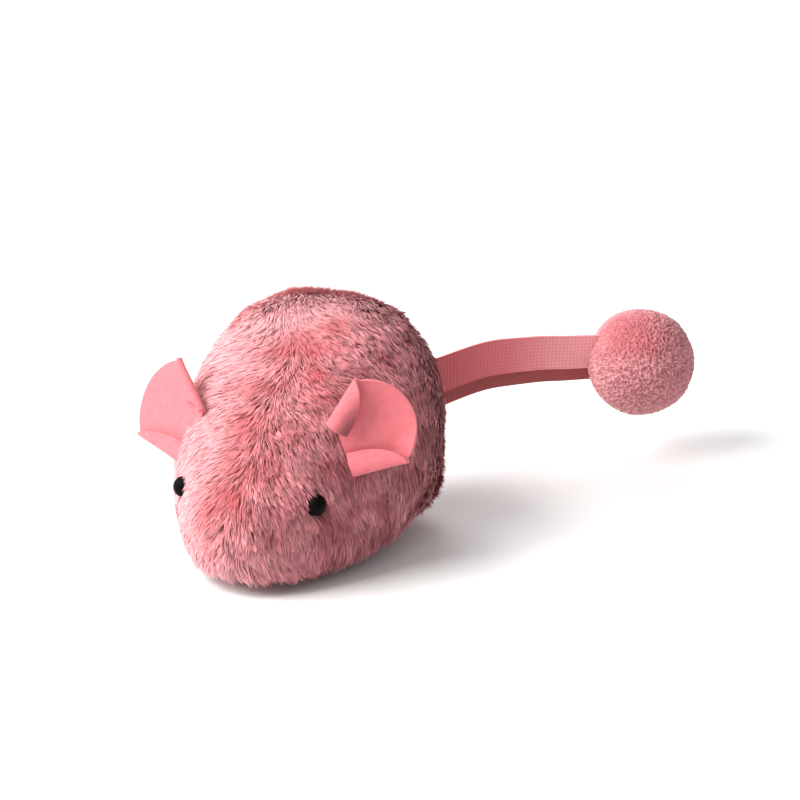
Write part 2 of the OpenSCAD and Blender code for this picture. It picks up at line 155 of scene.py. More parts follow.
class Shader:
    """A small builder for one Principled material."""

    def __init__(self, name, colour, roughness, **inputs):
        self.material = bpy.data.materials.new(name)
        self.material.use_nodes = True
        self.tree = self.material.node_tree
        self.out = self.tree.nodes["Principled BSDF"]
        self.out.inputs["Base Color"].default_value = (*colour, 1)
        self.out.inputs["Roughness"].default_value = roughness
        for key, value in inputs.items():
            self.out.inputs[key.replace("_", " ")].default_value = value
        self.place = None

    def node(self, kind, **values):
        made = self.tree.nodes.new(kind)
        for key, value in values.items():
            if hasattr(made, key):
                setattr(made, key, value)
            else:
                made.inputs[key.replace("_", " ")].default_value = value
        return made

    def link(self, a, b):
        self.tree.links.new(a, b)

    def where(self):
        if self.place is None:
            self.place = self.node("ShaderNodeTexCoord").outputs["Object"]
        return self.place

    def noise(self, scale, detail=3.0):
        """A noise value, with scale blobs to the metre."""
        made = self.node("ShaderNodeTexNoise", Scale=scale, Detail=detail, Roughness=NOISE_ROUGH)
        self.link(self.where(), made.inputs["Vector"])
        return made.outputs["Fac"]

    def vary_roughness(self, source, low, high):
        """Drives the roughness from low to high as source crosses its middle range."""
        made = self.node("ShaderNodeMapRange")
        made.inputs["From Min"].default_value, made.inputs["From Max"].default_value = NOISE_SPAN
        made.inputs["To Min"].default_value, made.inputs["To Max"].default_value = low, high
        self.link(source, made.inputs["Value"])
        self.link(made.outputs["Result"], self.out.inputs["Roughness"])

    def blend_colours(self, source, first, second):
        """Drives the colour from first to second as source crosses its middle range."""
        ramp = self.node("ShaderNodeValToRGB")
        for stop, position, colour in zip(ramp.color_ramp.elements, NOISE_SPAN, (first, second)):
            stop.position = position
            stop.color = (*colour, 1)
        self.link(source, ramp.inputs["Fac"])
        self.link(ramp.outputs["Color"], self.out.inputs["Base Color"])

    def bump(self, source, strength, distance):
        """Raises the surface by source, distance in metres."""
        made = self.node("ShaderNodeBump", Strength=strength, Distance=distance)
        self.link(source, made.inputs["Height"])
        self.link(made.outputs["Normal"], self.out.inputs["Normal"])

    def vertex_colour(self):
        made = self.node("ShaderNodeVertexColor", layer_name=TINT)
        self.link(made.outputs["Color"], self.out.inputs["Base Color"])


def dress(obj, material):
    """Gives an object one material, in the place of any it has."""
    obj.data.materials.clear()
    obj.data.materials.append(material)


# Plush body form -------------------------------------------------------------

cover_low, cover_high = box_mm("plush_cover")
BODY_L = cover_high[1] - cover_low[1]
BODY_W = cover_high[0] - cover_low[0]
NOSE_Z, RUMP_Z = 9.0, 22.0
# Shares of the length at which the body is widest and highest, its chin ends and its rump tucks in.
WIDE_T, HIGH_T, CHIN_T, TUCK_T = 0.65, 0.78, 0.22, 0.8
# Share of the height at which a cross-section is widest.
WAIST = 0.42
# Powers of the rounded outlines: 1 ends as a parabola does, 2 as an ellipse, and more is squarer.
BROW_ROUND, CROWN_ROUND, CHIN_ROUND, TUCK_ROUND = 1, 2.4, 2.2, 2
SNOUT_ROUND, FLANK_ROUND = 1.42, 2.6
BELLY_ROUND, BACK_ROUND = 3, 2.45
# Share of the length over which the surface's directions are evened out.
EVEN_REACH = 0.06
body_mid = (cover_low + cover_high) / 2
body_half = (cover_high - cover_low) / 2


def bulge(v, power):
    """Half the outline of a rounded end: 1 at v = 0, down to 0 at v = 1."""
    return np.sqrt(np.clip(1 - np.clip(v, 0, 1) ** power, 0, 1))


def rising(t, mid, front, back):
    """An outline that is 0 at both ends and 1 at mid, with its own power each way."""
    return np.where(t < mid, bulge((mid - t) / mid, front), bulge((t - mid) / (1 - mid), back))


def body_point(t, a, inset=0.0):
    """Points of the plush body, t from nose 0 to rump 1 and a round it, shrunk by inset on every side."""
    top = np.where(t < HIGH_T, NOSE_Z, RUMP_Z)
    crown = top + (cover_high[2] - top) * rising(t, HIGH_T, BROW_ROUND, CROWN_ROUND)
    low = np.where(
        t < CHIN_T,
        NOSE_Z - (NOSE_Z - cover_low[2]) * bulge((CHIN_T - t) / CHIN_T, CHIN_ROUND),
        RUMP_Z - (RUMP_Z - cover_low[2]) * bulge((t - TUCK_T) / (1 - TUCK_T), TUCK_ROUND),
    )
    low = np.where((t >= CHIN_T) & (t <= TUCK_T), cover_low[2], low)
    waist = low + (crown - low) * WAIST
    c, s = np.cos(a), np.sin(a)
    power = np.where(s < 0, 2 / BELLY_ROUND, 2 / BACK_ROUND)
    half = BODY_W / 2 * rising(t, WIDE_T, SNOUT_ROUND, FLANK_ROUND)
    x = half * np.sign(c) * np.abs(c) ** power
    z = waist + np.where(s < 0, waist - low, crown - waist) * np.sign(s) * np.abs(s) ** power
    p = np.stack([x, cover_low[1] + BODY_L * t, z], -1)
    return body_mid + (p - body_mid) * (1 - inset / body_half)


def body_normal(t, a, inset):
    """Outward directions of the form, evened out over its ridges by reaching a little way along it."""
    step = 1e-3
    t = np.clip(t, 2 * step, 1 - 2 * step)
    reach = np.minimum(EVEN_REACH, 0.6 * np.minimum(t, 1 - t))
    along = body_point(t + reach, a, inset) - body_point(t - reach, a, inset)
    around = body_point(t, a + step, inset) - body_point(t, a - step, inset)
    return unit(np.cross(along, around))


# Colours ---------------------------------------------------------------------

PALE_PINK = srgb(244, 184, 188)
DUSTY_PINK = srgb(220, 146, 152)
# Mauve: partly the plush's own tone, partly painted shade for the side turned from the key lamp.
SHADED_MAUVE = srgb(168, 84, 92)
CORAL = srgb(210, 84, 91)
# Painted shade at a strand's root: factors on its dye there, where the pile is shaggy and where it is
# sleek.
SHAGGY_ROOT_SHADE = np.array([0.86, 0.64, 0.66])
SLEEK_ROOT_SHADE = np.array([1.0, 0.95, 0.96])

# Heights between which the coral dye fades in, and how far its patches' edges wander.
DYE_FROM, DYE_TO, DYE_WANDER = 8, 18, 2.2
# Coral patches along the back: across, along, size across, size along, strength.
PATCHES = (
    (4.0, 29.0, 5.0, 5.0, 0.7),
    (1.0, 22.5, 7.5, 6.0, 1.0),
    (4.5, 14.5, 6.5, 6.0, 0.95),
    (7.0, 7.0, 6.0, 6.0, 0.5),
    (-3.0, 8.0, 8.0, 7.0, 0.65),
    (-1.0, -1.0, 9.5, 7.0, 0.7),
    (0.0, -10.0, 9.0, 6.0, 0.65),
    (-2.5, -17.0, 6.0, 5.5, 0.9),
)


def shagginess(p):
    """How rough the pile lies: sleek on the right side and crown, shaggy over the left side and face."""
    behind, ahead = np.maximum(p[:, 1] - 10, 0), np.maximum(-p[:, 1], 0)
    return smooth_step(-9, 5, p[:, 0] - 0.3 * behind + 0.25 * ahead)


def coat_colour(p):
    """The plush's colour: soft coral dye patches along the spine, pale pink on the right, and mauve on the
    left that is partly its own tone and partly painted shade on the side turned from the key lamp.
    """
    high = smooth_step(DYE_FROM, DYE_TO, p[:, 2])
    warp = DYE_WANDER * np.stack([noise_at(p, 7, 3.1), noise_at(p, 7, 8.0)], -1)
    coral = np.zeros(len(p))
    for x, y, wide, long, strength in PATCHES:
        gap = ((p[:, 0] + warp[:, 0] - x) / wide) ** 2 + ((p[:, 1] + warp[:, 1] - y) / long) ** 2
        coral = np.maximum(coral, strength * np.exp(-gap))
    coral = np.clip(coral * high * (0.85 + 0.3 * noise_at(p, 4, 5.2)), 0, 1)
    mottle = smooth_step(-0.35, 0.5, noise_at(p, 6.5, 1.7) + 0.5 * noise_at(p, 2.6, 4.4))
    # The left side goes to mauve: partly the plush's own tone, partly painted shade away from the key lamp.
    side = smooth_step(-3, 13, p[:, 0] - 0.15 * p[:, 1])
    base = mix(PALE_PINK, DUSTY_PINK, 0.25 + 0.35 * mottle)
    base = mix(base, mix(DUSTY_PINK, SHADED_MAUVE, 0.35 + 0.65 * mottle), side * 0.9)
    return mix(base, CORAL, coral)


# Plush backing ---------------------------------------------------------------

# Depth of the backing under the pile's surface, and its mesh along and round the body.
PILE = 2.3
BACK_T, BACK_A = 72, 96
# The hem's half width at its two ends, and where its straight sides start and end.
HEM_NOSE, HEM_RUMP = 8.6, 10.4
HEM_WIDE_FROM, HEM_WIDE_TO = 14, 41
# Height over the motor cover's foot up to which the backing is open.
OPEN_UP = 5
HEM_PLAY, UNDER_FLOOR = 0.05, -5
cover_foot = box_mm("motor_cover")[0][2]


def tray_outline(grow):
    """Outline of the hem round the tray, from the hem's own box, grown by some millimetres."""
    low, high = box_mm("hem_ring")
    half = [
        (HEM_NOSE + grow, low[1] - grow),
        (high[0] + grow, HEM_WIDE_FROM - grow / 3),
        (high[0] + grow, HEM_WIDE_TO + grow / 3),
        (HEM_RUMP + grow / 2, high[1] + grow),
    ]
    return half + [(-x, y) for x, y in reversed(half)]


def inside_outline(points, outline):
    """Which points lie inside a convex outline, seen from above."""
    corners = np.array(outline)
    inside = np.ones(len(points), bool)
    for a, b in zip(corners, np.roll(corners, -1, axis=0)):
        side = (b[0] - a[0]) * (points[:, 1] - a[1]) - (b[1] - a[1]) * (points[:, 0] - a[0])
        inside &= side > 0
    return inside


def thicken(target, thick):
    """Gives a sheet a thickness in millimetres, half to each side."""
    solid = target.modifiers.new("cloth", "SOLIDIFY")
    solid.thickness, solid.offset, solid.use_even_offset = thick * MM, 0, False


def prism(name, outline, low, high):
    """An upright block over an outline, between two heights."""
    n = len(outline)
    verts = [(x, y, low) for x, y in outline] + [(x, y, high) for x, y in outline]
    mesh = bpy.data.meshes.new(name)
    faces = [list(range(n))[::-1], list(range(n, 2 * n))]
    faces += [[i, (i + 1) % n, n + (i + 1) % n, n + i] for i in range(n)]
    mesh.from_pydata([Vector(v) * MM for v in verts], [], faces)
    made = bpy.data.objects.new(name, mesh)
    bpy.context.scene.collection.objects.link(made)
    return made


def cut(target, tool):
    """Takes tool's volume out of target and removes tool."""
    made = target.modifiers.new("cut", "BOOLEAN")
    made.operation, made.solver, made.object = "DIFFERENCE", "EXACT", tool
    bake_modifiers(target)
    bpy.data.objects.remove(tool)


def bake_modifiers(target):
    """Puts the mesh that an object's modifiers make in the place of its own."""
    graph = bpy.context.evaluated_depsgraph_get()
    graph.update()
    mesh = bpy.data.meshes.new_from_object(target.evaluated_get(graph))
    target.modifiers.clear()
    target.data = mesh


def make_backing():
    """The plush's woven backing, open underneath for the tray."""
    ts = (1 - np.cos(np.pi * np.arange(1, BACK_T) / BACK_T)) / 2
    angles = 2 * np.pi * np.arange(BACK_A) / BACK_A
    t, a = np.meshgrid(ts, angles, indexing="ij")
    rings = body_point(t, a, PILE).reshape(-1, 3)
    ends = body_point(np.array([0.0, 1.0]), np.array([0.0, 0.0]), PILE)
    ends[:, 0] = 0
    quads = grid_faces(BACK_T - 1, BACK_A, wrap=True)[:, ::-1]
    faces = [quads, end_caps(BACK_T - 1, BACK_A)]
    made = mesh_object("plush_backing", np.concatenate([rings, ends]), faces)
    cut(made, prism("tray_cut", tray_outline(HEM_PLAY), UNDER_FLOOR, cover_foot + OPEN_UP))
    # The backing is darker than the pile: partly its own tone, partly painted shade in the gaps between
    # strands.
    shader = Shader("plush_backing", srgb(150, 74, 80), 0.9)
    shader.blend_colours(shader.noise(160), srgb(196, 108, 114), srgb(222, 140, 146))
    shader.bump(shader.noise(900, 2), 0.4, 0.4 * MM)
    dress(made, shader.material)
    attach(made, "mouse")
    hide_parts("plush_cover")


# Fur -------------------------------------------------------------------------

STRANDS = 150000
# The first strands lead a tuft each, and the others lean toward the nearest leader.
TUFTS = 15000
HAIR_L = (4.4, 6.4)
HAIR_W = 0.25
# Widths of a strand at its first three joints, as shares of HAIR_W; the fourth is its pointed tip.
HAIR_TAPER = (0.9, 1.0, 0.72)
# How steeply a strand's three stretches stand, in degrees, and how much more where the lie is unsure.
RISE = np.array([50, 24, 7])
UNSURE_RISE = np.array([2, 8, 12])
FLOOR_GAP = 0.25
SPINE_X = 0.5
# Share of the body's own direction in the way a strand is lit, where the pile is sleek and shaggy.
SOFTNESS = (0.93, 0.55)
# Where the parting leaves the spine for the right side, and by how much.
PARTING_FROM, PARTING_TO, PARTING_SHIFT = 12, 34, 13
# Where the pile starts to lie over the crown toward the nose.
CROWN_FROM, CROWN_TO = 22, 44
# Width over which the lie turns at the parting, and how much wider that is over the crown.
PARTING_WIDE, CROWN_WIDE = 7, 12
# Parts of the lie away from the parting, toward the rump and up; the crown adds to the second.
ASIDE, BACKWARD, UPWARD, CROWN_BACKWARD = 0.9, -0.34, -0.95, -1.5
# How far the lie swirls, in degrees, and over what distance: in wide and in fine swirls.
WIDE_SWIRL, WIDE_SIZE, FINE_SWIRL, FINE_SIZE = 22, 13, 18, 4.5
# More fine swirl where the lie is unsure, and how far single strands stray, in degrees.
UNSURE_SWIRL, STRAY = 20, 8
# Heights between which the pile turns to lie level.
SKIRT_FROM, SKIRT_TO = 12, 3
# Half width of the bare slot round the tail, and the half widths between which the pile grows back.
TAIL_BARE, TAIL_SHORT, TAIL_LONG = 2.6, 3, 11
RUMP_DEPTH = 9
EYE_R = 2.6
BEAD_GAP = 0.12
# How far blades are rolled either way, in degrees.
ROLL = 55
# Spread of tone from strand to strand and tuft to tuft, where sleek, and what shagginess adds.
STRAND_TONE, TUFT_TONE = (0.04, 0.06), (0.03, 0.14)

key_low, key_high = box_mm("key_bush")
key_axis = (key_low + key_high)[1:] / 2
KEY_CLEAR = (key_high - key_low)[2] / 2 + 0.5


def bead_middle(node, side):
    """Middle of an eye bead, from the outer, front and upper faces of its box."""
    low, high = box_mm(node)
    x = high[0] - EYE_R if side > 0 else low[0] + EYE_R
    return np.array([x, low[1] + EYE_R, high[2] - EYE_R])


eye_mids = [bead_middle("left_eye", 1), bead_middle("right_eye", -1)]


def comb(p, n):
    """Which way the pile lies along the surface, and how surely, from 0 to 1.

    It lies away from the parting and down, a little toward the nose, and more so over the crown.
    """
    parting = SPINE_X - PARTING_SHIFT * smooth_step(PARTING_FROM, PARTING_TO, p[:, 1])
    crown = smooth_step(CROWN_FROM, CROWN_TO, p[:, 1])
    skirt = smooth_step(SKIRT_FROM, SKIRT_TO, p[:, 2])
    turned = np.tanh((p[:, 0] - parting) / (PARTING_WIDE + CROWN_WIDE * crown))
    lateral = ASIDE * (1 + crown) * turned * (1 - 0.8 * skirt)
    back = (BACKWARD + CROWN_BACKWARD * crown) * (1 - skirt) + 0.3 * skirt
    wish = np.stack([lateral, back, UPWARD * (1 - 0.85 * crown)], -1)
    d = wish - n * (wish * n).sum(-1, keepdims=True)
    calm = smooth_step(0.0, 0.5, np.linalg.norm(d, axis=-1))
    d = unit(d)
    swirl = WIDE_SWIRL * noise_at(p, WIDE_SIZE, 2.2)
    swirl = swirl + (FINE_SWIRL + UNSURE_SWIRL * (1 - calm)) * noise_at(p, FINE_SIZE, 6.6)
    swirl = np.radians(swirl) + np.radians(rng.normal(0, STRAY, len(p)) * (1 + (1 - calm)))
    side = np.cross(n, d)
    return unit(d * np.cos(swirl)[:, None] + side * np.sin(swirl)[:, None]), calm


def scatter(count):
    """Random places on the body form, even by area, as t and a."""
    rows, cols = 160, 180
    edges_t = (1 - np.cos(np.pi * np.arange(rows + 1) / rows)) / 2
    edges_a = 2 * np.pi * np.arange(cols + 1) / cols
    t, a = np.meshgrid(edges_t, edges_a, indexing="ij")
    p = body_point(t, a, PILE)
    diagonals = np.cross(p[1:, 1:] - p[:-1, :-1], p[1:, :-1] - p[:-1, 1:])
    area = np.linalg.norm(diagonals, axis=-1).ravel()
    cell = rng.choice(len(area), count, p=area / area.sum())
    row, col = cell // cols, cell % cols
    share = rng.random((2, count))
    t = edges_t[row] + (edges_t[row + 1] - edges_t[row]) * share[0]
    a = edges_a[col] + (edges_a[col + 1] - edges_a[col]) * share[1]
    return t, a


def under_seam(p):
    """Places under an ear's seam."""
    hit = np.zeros(len(p), bool)
    for a, b in ear_seams:
        along = b - a
        share = np.clip(((p - a) @ along) / (along @ along), 0, 1)
        hit |= np.linalg.norm(p - (a + share[:, None] * along), axis=-1) < EAR_THICK / 2 - 0.05
    return hit


def key_distance(p):
    """How far places are from the key's axis, seen from the side."""
    return np.hypot(p[:, 1] - key_axis[0], p[:, 2] - key_axis[1])


def by_the_tail(p):
    """Places at the rump, level with the tail."""
    level = (p[:, 2] > tail_low - 0.5) & (p[:, 2] < tail_high + 0.5)
    return level & (p[:, 1] > cover_high[1] - RUMP_DEPTH)


def bare(p):
    """Places where no pile stands: over the tray, and at key, tail, beads and ears' seams."""
    under = inside_outline(p, tray_outline(0.7)) & (p[:, 2] < cover_foot + OPEN_UP)
    key = (key_distance(p) < KEY_CLEAR) & (p[:, 0] < 0)
    slot = by_the_tail(p) & (np.abs(p[:, 0]) < TAIL_BARE)
    hit = under | key | slot | under_seam(p)
    for eye in eye_mids:
        hit |= np.linalg.norm(p - eye, axis=-1) <= EYE_R - 0.3
    return hit


def strand_lengths(p, n):
    """Lengths of strands: short on face, belly and round tail and key, long low on the flanks."""
    length = rng.uniform(*HAIR_L, len(p)) * (1 + 0.18 * noise_at(p, 5, 9.1))
    length *= 1 - 0.22 * smooth_step(2, -16, p[:, 1])
    length *= 1 - 0.5 * smooth_step(-0.62, -0.88, n[:, 2])
    length *= 1 + 0.4 * smooth_step(-0.1, -0.4, n[:, 2]) * smooth_step(-0.88, -0.62, n[:, 2])
    tail_growth = 0.25 + 0.75 * smooth_step(TAIL_SHORT, TAIL_LONG, np.abs(p[:, 0]))
    length *= np.where(by_the_tail(p), tail_growth, 1)
    length *= np.where(p[:, 0] < 0, 0.55 + 0.45 * smooth_step(6, 12, key_distance(p)), 1)
    return length


def strand_joints(p, n, shaggy):
    """The four joints of each strand, laid over the way the pile is combed."""
    d, calm = comb(p, n)
    length = strand_lengths(p, n)
    lift = UNSURE_RISE * (1 - calm)[:, None]
    ruffle = (rng.normal(0, 5, len(p)) * (0.4 + 0.6 * shaggy))[:, None]
    rise = np.radians(RISE * (0.75 + 0.25 * shaggy)[:, None] + lift + ruffle)
    joints = [p]
    for k in range(3):
        step = np.cos(rise[:, k : k + 1]) * d + np.sin(rise[:, k : k + 1]) * n
        joints.append(joints[-1] + step * (length / 3)[:, None])
    return joints


def nearest_leader(p):
    """Which leading strand stands nearest to each strand."""
    tree = KDTree(TUFTS)
    for i in range(TUFTS):
        tree.insert(p[i], i)
    tree.balance()
    return np.array([tree.find(q)[1] for q in p])


def draw_together(joints, leader, shaggy):
    """Pulls strands toward their leader's, the tips most."""
    pull = (rng.uniform(0.35, 0.75, len(leader)) * (0.25 + 0.75 * shaggy))[:, None]
    for k, share in ((1, 0.12), (2, 0.5), (3, 1.0)):
        joints[k] = joints[k] + (joints[k][leader] - joints[k]) * pull * share


def keep_clear(joints):
    """Moves joints out of the beads and up from the floor."""
    want = EYE_R + BEAD_GAP
    for k in range(1, 4):
        for eye in eye_mids:
            away = joints[k] - eye
            distance = np.linalg.norm(away, axis=-1, keepdims=True)
            joints[k] = np.where(distance < want, eye + away / distance * want, joints[k])
        joints[k][:, 2] = np.maximum(joints[k][:, 2], FLOOR_GAP)


def on_a_bead(joints):
    """Strands whose middle joints lie on a bead."""
    hit = np.zeros(len(joints[0]), bool)
    for eye in eye_mids:
        for k in (1, 2):
            hit |= np.linalg.norm(joints[k] - eye, axis=-1) < EYE_R + BEAD_GAP + 0.01
    return hit


def strand_blades(joints, n, roll, colour, root_shade):
    """Vertices and colours of flat, tapered blades: a pair at each of three joints, and the tip. Colours
    run from painted shade at the root to the full dye, and the tip is paler.
    """
    verts, tints = [], []
    # Painted shade toward the root: each pair's colour lies between the darkened root and the full dye.
    for k, (width, shade) in enumerate(zip(HAIR_TAPER, (0.0, 0.45, 0.85))):
        ahead = unit(joints[k + 1] - joints[k])
        flat = unit(np.cross(ahead, n))
        wide = flat * np.cos(roll)[:, None] + np.cross(flat, ahead) * np.sin(roll)[:, None]
        for sign in (-1, 1):
            verts.append(joints[k] + wide * sign * width * HAIR_W / 2)
            tints.append(mix(colour * root_shade, colour, np.full(len(n), shade)))
    verts.append(joints[3])
    tints.append(mix(colour, np.clip(colour * 1.25 + 0.03, 0, 1), np.full(len(n), 0.6)))
    return np.stack(verts, 1), np.stack(tints, 1)


def strand_light(joints, n, roll, shaggy):
    """Directions strands are lit by: partly the body's own, so that the pile reads as one soft surface."""
    ahead = unit(joints[3] - joints[0])
    flat = unit(np.cross(ahead, n))
    face = np.cross(flat, ahead) * np.cos(roll)[:, None] - flat * np.sin(roll)[:, None]
    soft = (SOFTNESS[0] + (SOFTNESS[1] - SOFTNESS[0]) * shaggy)[:, None]
    return unit(n * soft + face * (1 - soft))


def grow_fur():
    """The pile: roots, lighting directions, blade vertices and their colours with painted shade toward the
    roots, a row to each strand.
    """
    t, a = scatter(STRANDS)
    p, n = body_point(t, a, PILE), body_normal(t, a, PILE)
    keep = ~bare(p)
    p, n = p[keep], n[keep]
    shaggy = shagginess(p)
    joints = strand_joints(p, n, shaggy)
    leader = nearest_leader(p)
    draw_together(joints, leader, shaggy)
    keep_clear(joints)
    roll = rng.uniform(-1, 1, len(p)) * math.radians(ROLL)
    strand_spread = (STRAND_TONE[0] + STRAND_TONE[1] * shaggy) * rng.normal(0, 1, len(p))
    tuft_spread = (TUFT_TONE[0] + TUFT_TONE[1] * shaggy) * rng.normal(0, 1, len(p))[leader]
    colour = coat_colour(p) * (1 + strand_spread)[:, None] * (1 + tuft_spread)[:, None]
    colour = np.clip(colour, 0.01, 0.95)
    # The roots get painted shade: deep where the pile is shaggy, faint where it is sleek.
    verts, tints = strand_blades(joints, n, roll, colour, mix(SLEEK_ROOT_SHADE, SHAGGY_ROOT_SHADE, shaggy))
    clear = ~on_a_bead(joints)
    return tuple(part[clear] for part in (p, strand_light(joints, n, roll, shaggy), verts, tints))


BLADE_VERTS = 2 * len(HAIR_TAPER) + 1
# Places of a blade's vertices in its own cell of the texture sheet.
BLADE_CELL = np.array([[0.2, 0.1], [0.8, 0.1], [0.2, 0.4], [0.8, 0.4], [0.2, 0.7], [0.8, 0.7], [0.5, 0.9]])


def fur_piece(name, pick, fur, material):
    """One piece of fur from the strands that pick chooses."""
    p, shine, verts, tints = (part[pick] for part in fur)
    count = len(p)
    base = BLADE_VERTS * np.arange(count)[:, None]
    quads = np.concatenate([base + [0, 1, 3, 2], base + [2, 3, 5, 4]])
    tips = base + [4, 5, 6]
    made = mesh_object(name, verts.reshape(-1, 3), [quads, tips])
    paint(made, tints.reshape(-1, 3))
    side = math.ceil(math.sqrt(count))
    cell = np.stack([np.arange(count) % side, np.arange(count) // side], -1) / side
    uv = (cell[:, None] + BLADE_CELL[None] / side).reshape(-1, 2)
    layer = made.data.uv_layers.new(name="OFBake")
    order = np.zeros(len(made.data.loops), dtype=np.int32)
    made.data.loops.foreach_get("vertex_index", order)
    layer.data.foreach_set("uv", uv[order].astype(np.float32).ravel())
    made.data.normals_split_custom_set_from_vertices(np.repeat(shine, BLADE_VERTS, axis=0))
    dress(made, material)
    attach(made, "mouse")


# Roots ahead of the first of these places go to the head's piece, and behind the second to the rump's.
HEAD_END, RUMP_START = 4, 34


def make_fur():
    """The pile as five pieces, each small enough to be kept whole."""
    fur = grow_fur()
    shader = Shader("fur", PALE_PINK, 0.6, Sheen_Weight=0.15)
    shader.vertex_colour()
    x, y = fur[0][:, 0], fur[0][:, 1]
    head, rump, left = y < HEAD_END, y > RUMP_START, x >= 0
    middle = ~head & ~rump
    fur_piece("fur_head", head, fur, shader.material)
    fur_piece("fur_rump_left", rump & left, fur, shader.material)
    fur_piece("fur_rump_right", rump & ~left, fur, shader.material)
    fur_piece("fur_left", middle & left, fur, shader.material)
    fur_piece("fur_right", middle & ~left, fur, shader.material)


# Ears ------------------------------------------------------------------------

# Each table has the left ear at 1 and the right ear at -1, and pairs are the rear and the front edge's.
EAR_THICK = 0.8
# Middle of the seam, and turn, lean and roll in degrees.
EAR_BASE = {1: (19.6, -0.7, 33.0), -1: (20.0, -0.5, 31.8)}
EAR_TURNS = {1: (13, 2, 0), -1: (26, 20, -14)}
# The rim is an arc in the ear's own plane, out and up from the seam; its ends are in degrees.
ARC_CENTRE, ARC_R = np.array([5.0, 5.0]), 13.5
RIMS = {1: (94, -27), -1: (90, -22)}
# Ends of the seam, and how deep they are sunk, as shares of the ear's height.
ROOTS = {1: ((-2.6, 7.0), (4.4, -5.4)), -1: ((-4.0, 7.2), (2.6, -6.4))}
SUNK = {1: (0.0, 0.07), -1: (0.13, 0.12)}
# Widths of the turned flaps, how they taper to the rim, and what is left of the rear one at the seam.
FLAPS = {1: (6.6, 5.2), -1: (3.4, 4.2)}
FLAP_TAPER = {1: (2.4, 0.62), -1: (1.8, 0.8)}
FLAP_AT_SEAM = {1: 1.0, -1: 0.15}
# Radii of the folds at seam and rim, and how far they are turned over, in degrees.
FOLD_R = {1: ((1.7, 1.1), (1.1, 0.7)), -1: ((0.8, 0.6), (0.7, 0.5))}
FOLD_TURN = {1: (138, 160), -1: (168, 172)}
# Depth of the ear's hollow, height of the lip at its front corner and bow of its flaps.
CUP = {1: 1.1, -1: 0.25}
LIP = {1: 1.5, -1: 0.0}
CURL = {1: 0.12, -1: 0.05}
# Painted shade on the rear flap: how much darker it is toward its root.
FLAP_SHADE = {1: 0.66, -1: 0.0}
FELT_DEEP, FELT_PALE = srgb(210, 103, 111), srgb(220, 115, 123)
# Mesh across a flap, across the ear between its folds, and from root to rim.
FLAP_STEPS, FACE_STEPS, RISE_STEPS = 26, 40, 44


def ear_pose(side):
    """Base point and outward, upward and forward directions of an ear, in millimetres."""
    turn, lean, roll = (math.radians(v) for v in EAR_TURNS[side])
    out = np.array([math.cos(turn), math.sin(turn), 0])
    front = np.array([math.sin(turn), -math.cos(turn), 0])
    up = np.array([0, 0, 1]) * math.cos(lean) - front * math.sin(lean)
    forward = np.cross(out, up)
    rolled_out = out * math.cos(roll) + up * math.sin(roll)
    rolled_up = -out * math.sin(roll) + up * math.cos(roll)
    flip = np.array([side, 1, 1])
    return np.array(EAR_BASE[side]) * flip, rolled_out * flip, rolled_up * flip, forward * flip


def ear_seam(side):
    """Both ends of the seam that holds an ear."""
    base, out, up, _ = ear_pose(side)
    return [base + out * q[0] + up * q[1] for q in ROOTS[side]]


ear_seams = [ear_seam(1), ear_seam(-1)]


def on_rim(degrees):
    """A point of the arc that an ear's rim follows."""
    angle = math.radians(degrees)
    return ARC_CENTRE + ARC_R * np.array([math.cos(angle), math.sin(angle)])


def ear_folds(r, ear):
    """Where the rear and the front fold start at r, their directions inward and their radii."""
    share = min(max(r, 0.0), 1.0)
    ends = [on_rim(v) for v in RIMS[ear]]
    roots = [np.array(q) for q in ROOTS[ear]]
    folds = []
    for k in (0, 1):
        line = ends[k] - roots[k]
        across = np.array([line[1], -line[0]]) / np.linalg.norm(line)
        middle = (roots[1 - k] + ends[1 - k]) / 2 - roots[k]
        inward = across * np.sign(across @ middle)
        radius = FOLD_R[ear][k][0] + (FOLD_R[ear][k][1] - FOLD_R[ear][k][0]) * share
        folds.append((roots[k] + line * r + inward * radius, inward, radius))
    return folds


def ear_point(w, r, ear):
    """A point of a folded ear and the same point unfolded.

    w runs across it from -1 to 2, with the flaps outside 0 to 1, and r from root to rim.
    The folded point is (out, up, forward).
    """
    folds = ear_folds(r, ear)
    rim = RIMS[ear]
    v = min(max(w, 0.0), 1.0)
    share = min(max(r, 0.0), 1.0)
    bow = on_rim(rim[0] + (rim[1] - rim[0]) * v) - (on_rim(rim[0]) + (on_rim(rim[1]) - on_rim(rim[0])) * v)
    flat = folds[0][0] + (folds[1][0] - folds[0][0]) * v + bow * share**1.3
    edges_up = CUP[ear] * (4 * (v - 0.5) ** 2) * (0.3 + 0.7 * share)
    middle_down = 0.55 * CUP[ear] * math.sin(math.pi * v) * share
    lip = LIP[ear] * math.exp(-(((v - 0.9) / 0.14) ** 2)) * max(0.0, share - 0.68) / 0.32
    height = edges_up - middle_down + lip
    if 0 <= w <= 1:
        return np.array([*flat, height]), flat
    k = 0 if w < 0 else 1
    start, inward, radius = folds[k]
    fall, round_off = FLAP_TAPER[ear]
    width = FLAPS[ear][k] * (1 - share**fall) ** round_off
    if k == 0:
        width *= FLAP_AT_SEAM[ear] + (1 - FLAP_AT_SEAM[ear]) * smooth_step(0.0, 0.4, share)
    full_turn = math.radians(FOLD_TURN[ear][k])
    beyond = (-w if k == 0 else w - 1) * (width + 0.9 * radius * full_turn)
    turned = min(beyond / radius, full_turn)
    rest = max(0.0, beyond - radius * full_turn)
    step = -inward * (radius * math.sin(turned) + rest * math.cos(turned))
    rise = radius * (1 - math.cos(turned)) + rest * math.sin(turned) - CURL[ear] * rest * rest
    return np.array([*(start + step), height + rise]), start - inward * beyond


